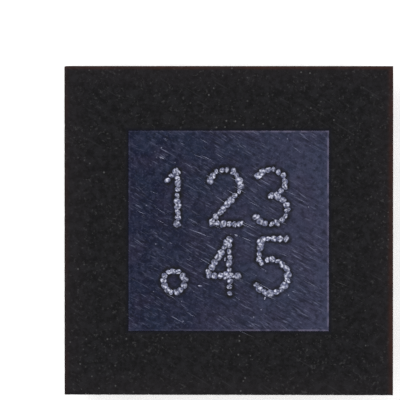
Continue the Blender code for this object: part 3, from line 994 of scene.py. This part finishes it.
def ball_finish(looks):
    """Frosted solder: painted highlight on its ridges, painted shade in its hollows, and contact marks
    that also paint a dark reflection on each foot.
    """
    finish = Finish("frosted_solder", looks.dull, metallic=0.75)
    crumple = finish.noise(13, 3)
    grain = finish.noise(40)
    # Painted highlight on the ridges, bright cells and grain; the dull solder left in the hollows is
    # painted shade
    bright = finish.calc("MULTIPLY_ADD", crumple, 1.4, finish.attribute("crest_highlight"))
    bright = finish.calc("MULTIPLY_ADD", grain, 1.8, bright)
    finish.lay(looks.bright, bright, 1.68, 2.40)
    # Dull patch on each ball's foot: test-contact marks and a painted dark reflection
    patchy = finish.span(crumple, 0.34, 0.60, 0.15, 1.0)
    finish.lay(shade(106, 102, 97), finish.times(finish.attribute("contact_marks_and_shade"), patchy))
    finish.roughen(crumple, 0.34, 0.58)
    finish.bump(finish.calc("MULTIPLY_ADD", grain, 0.40, crumple), 3.5 * MICRON)
    return finish


# Unevenness of a ball, counted to its radius: broad swells, cells of dents and fine grain
SWELLS, DENTS, GRAIN = 1.6, 2.7, 5.5


def crumple_ball(directions, looks, chance):
    """Reach of a ball in each direction, as a share of its radius, and the strength of the painted
    highlight on its ridges.
    """
    seed = Vector([chance.uniform(-40, 40) for _ in range(3)])
    burrs = []
    for _ in range(looks.burrs):
        around = chance.uniform(0, tau)
        rise = chance.uniform(-0.45, 0.20)
        flat = sqrt(1 - rise * rise)
        burrs.append((
            Vector((cos(around) * flat, sin(around) * flat, rise)),
            chance.uniform(0.10, 0.24), chance.uniform(0.08, 0.13),
        ))
    shares, crest_highlights = [], []
    depth = looks.crumple / BALL_RADIUS
    for way in directions:
        broad = noise.noise(seed + way * SWELLS) * 0.022
        cells = noise.voronoi(seed + way * DENTS)[0]
        dents = (cells[1] - cells[0]) - 0.35
        fine = noise.noise(seed - way * GRAIN)
        share = 1 + broad + depth * (1.5 * min(dents, 0.25) + 0.7 * fine)
        for burr, high, wide in burrs:
            apart = (way - burr).length / wide
            if apart < 2.5:
                share += high * exp(-apart * apart)
        shares.append(share)
        # Painted highlight on the ridges of the dents, brighter up the ball's sides towards the body
        crest_highlights.append(min(1.0, max(0.0, 0.70 + dents + 0.5 * fine + 0.2 * way.z)))
    return np.array(shares), np.array(crest_highlights)


def make_balls(looks):
    """Solder balls, each crumpled in its own way, with a flat foot and a flat neck."""
    drawing = bmesh.new()
    bmesh.ops.create_icosphere(drawing, subdivisions=5, radius=1.0)
    directions = [vertex.co.normalized() for vertex in drawing.verts]
    faces = [[vertex.index for vertex in face.verts] for face in drawing.faces]
    drawing.free()
    ways = np.array([tuple(way) for way in directions])
    finish = ball_finish(looks)
    for number, ball in enumerate(BALLS):
        chance = random.Random(100 + number)
        shares, crest_highlights = crumple_ball(directions, looks, chance)
        points = ways * shares[:, None] * BALL_RADIUS + np.array(CENTRES[ball])
        points[:, 2] = np.clip(points[:, 2], 0, BALL_TOP)
        # Dull patch round the middle of each foot: test-contact marks, and a painted dark reflection
        # there
        press = Vector((chance.uniform(-0.16, 0.16), chance.uniform(-0.16, 0.16), -1)).normalized()
        apart = np.linalg.norm(ways - np.array(press), axis=1)
        contact_marks_and_shade = np.clip(1.3 - apart / chance.uniform(0.30, 0.50), 0, 1) * chance.uniform(0.4, 0.95)
        mesh = mesh_of(f"frosted_ball_{ball}", points, faces, smooth_below=60)
        give_attribute(mesh, "crest_highlight", crest_highlights)
        give_attribute(mesh, "contact_marks_and_shade", contact_marks_and_shade)
        add_piece(mesh, [finish], "reflowed_solder", f"ball_{ball}")


def floor_finish(looks):
    """Pale floor that glows a little and lets the underside be seen from below."""
    finish = Finish("pale_floor", looks.floor, roughness=0.9, specular=0.0)
    finish.set("Emission Color", (1.0, 1.0, 1.0))
    finish.set("Emission Strength", finish.times(finish.seen_directly(), looks.glow))
    from_below = finish.node("NewGeometry").outputs["Backfacing"]
    clear = finish.node("BsdfTransparent").outputs[0]
    chosen = finish.node("MixShader", from_below, finish.shader.outputs[0], clear)
    finish.feed(finish.tree.nodes["Material Output"].inputs["Surface"], chosen.outputs[0])
    return finish


def make_floor(looks):
    """Square floor under the balls, which takes shadows but holds no light off the underside."""
    half, level = 60 * MM, -0.5 * MICRON
    corners = [(x * half, y * half, level) for x, y in ((-1, -1), (1, -1), (1, 1), (-1, 1))]
    mesh = mesh_of("studio_floor", corners, [[0, 1, 2, 3]])
    mesh.materials.append(floor_finish(looks).material)
    floor = put("studio_floor", mesh)
    floor.visible_diffuse = False
    floor.visible_shadow = False


def make_world(looks):
    """Even studio light, brighter overhead and below, in front of a white background."""
    world = bpy.data.worlds.new("studio")
    bpy.context.scene.world = world
    world.use_nodes = True
    world.node_tree.nodes.clear()
    studio = Wiring(world.node_tree)
    way = studio.node("TexCoord").outputs["Generated"]
    steep = studio.calc("ABSOLUTE", studio.node("SeparateXYZ", way).outputs["Z"])
    level = studio.node("MapRange", steep, 0.0, 1.0, looks.horizon, looks.sky).outputs[0]
    white = (1.0, 1.0, 1.0)
    light = studio.node("Background", white, level).outputs[0]
    backdrop = studio.node("Background", white, 1.0).outputs[0]
    chosen = studio.node("MixShader", studio.seen_directly(), light, backdrop).outputs[0]
    studio.node("OutputWorld", chosen)


def add_sun(name, strength, toward, spread):
    """Wide soft lamp that shines from a direction."""
    lamp = bpy.data.lights.new(name, "SUN")
    lamp.energy = strength
    lamp.angle = radians(spread)
    put(name, lamp).rotation_euler = Vector(toward).to_track_quat("Z", "Y").to_euler()


def make_camera(looks):
    """Long lens that looks down on the chip, leaning a little to the right and the back."""
    camera = bpy.data.cameras.new("camera")
    camera.lens = looks.lens
    camera.clip_start = 0.1 * MM
    camera.clip_end = 10.0
    holder = put("camera", camera)
    aim = Vector((*looks.aim, TOP))
    slope = tan(looks.lean)
    back = Vector((slope, slope, 1.0)).normalized()
    right = Vector((0, 1, 0)).cross(back).normalized()
    turn = Matrix((right, back.cross(right), back)).transposed()
    distance = looks.view * looks.lens / camera.sensor_width
    holder.matrix_world = Matrix.Translation(aim + back * distance) @ turn.to_4x4()
    bpy.context.scene.camera = holder


def make_stage(looks):
    """Floor, world, lamps and camera."""
    make_floor(looks)
    make_world(looks)
    add_sun("key", looks.key, (-0.55, 0.65, 1.0), 35)
    add_sun("fill", looks.fill, (0.8, -0.5, 0.9), 60)
    add_sun("under", looks.under, (0.9, 0.7, -0.8), 50)
    make_camera(looks)
    bpy.context.scene.view_settings.view_transform = "Standard"


class CHIP_OT_mould(bpy.types.Operator):
    """Make the ground mould with its worn edges"""

    bl_idname = "chip.mould"
    bl_label = "Mould"

    def execute(self, context):
        make_mould(context.scene.chip_looks.mould)
        return {"FINISHED"}


class CHIP_OT_die(bpy.types.Operator):
    """Make the ground die and its deep scratches"""

    bl_idname = "chip.die"
    bl_label = "Die"

    def execute(self, context):
        looks = context.scene.chip_looks
        make_die(looks.die, looks.marks)
        make_scratches(looks.die)
        return {"FINISHED"}


class CHIP_OT_marks(bpy.types.Operator):
    """Burn the index ring and the counting digits into the die"""

    bl_idname = "chip.marks"
    bl_label = "Marks"

    def execute(self, context):
        make_marks(context.scene.chip_looks.marks)
        return {"FINISHED"}


class CHIP_OT_films(bpy.types.Operator):
    """Make the stop film and finish the black film behind it"""

    bl_idname = "chip.films"
    bl_label = "Films"

    def execute(self, context):
        make_film(context.scene.chip_looks.film)
        make_inner_film(context.scene.chip_looks.film)
        return {"FINISHED"}


class CHIP_OT_copper(bpy.types.Operator):
    """Finish the copper lands and traces"""

    bl_idname = "chip.copper"
    bl_label = "Copper"

    def execute(self, context):
        make_copper(context.scene.chip_looks.copper)
        return {"FINISHED"}


class CHIP_OT_balls(bpy.types.Operator):
    """Make the frosted solder balls"""

    bl_idname = "chip.balls"
    bl_label = "Solder balls"

    def execute(self, context):
        make_balls(context.scene.chip_looks.balls)
        return {"FINISHED"}


class CHIP_OT_stage(bpy.types.Operator):
    """Set the floor, the light and the camera"""

    bl_idname = "chip.stage"
    bl_label = "Stage"

    def execute(self, context):
        make_stage(context.scene.chip_looks.stage)
        return {"FINISHED"}


OPERATORS = (
    CHIP_OT_mould, CHIP_OT_die, CHIP_OT_marks, CHIP_OT_films,
    CHIP_OT_copper, CHIP_OT_balls, CHIP_OT_stage,
)


class CHIP_PT_looks(bpy.types.Panel):
    """Steps and values of the chip's looks"""

    bl_idname = "CHIP_PT_looks"
    bl_label = "Oscillator chip"
    bl_space_type = "VIEW_3D"
    bl_region_type = "UI"
    bl_category = "Chip"

    def draw(self, context):
        for operator in OPERATORS:
            self.layout.operator(operator.bl_idname)
        looks = context.scene.chip_looks
        for group in ChipLooks.__annotations__:
            box = self.layout.box()
            box.label(text=group.capitalize())
            values = getattr(looks, group)
            for name in values.__annotations__:
                box.prop(values, name)


CLASSES = (
    MouldLooks, DieLooks, MarkLooks, FilmLooks, CopperLooks, BallLooks, StageLooks, ChipLooks,
    *OPERATORS, CHIP_PT_looks,
)


def register():
    for kind in CLASSES:
        bpy.utils.register_class(kind)
    bpy.types.Scene.chip_looks = PointerProperty(type=ChipLooks)


def unregister():
    del bpy.types.Scene.chip_looks
    for kind in reversed(CLASSES):
        bpy.utils.unregister_class(kind)


def main():
    """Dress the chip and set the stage."""
    register()
    bpy.ops.chip.mould()
    bpy.ops.chip.die()
    bpy.ops.chip.marks()
    bpy.ops.chip.films()
    bpy.ops.chip.copper()
    bpy.ops.chip.balls()
    bpy.ops.chip.stage()


if __name__ == "__main__":
    main()
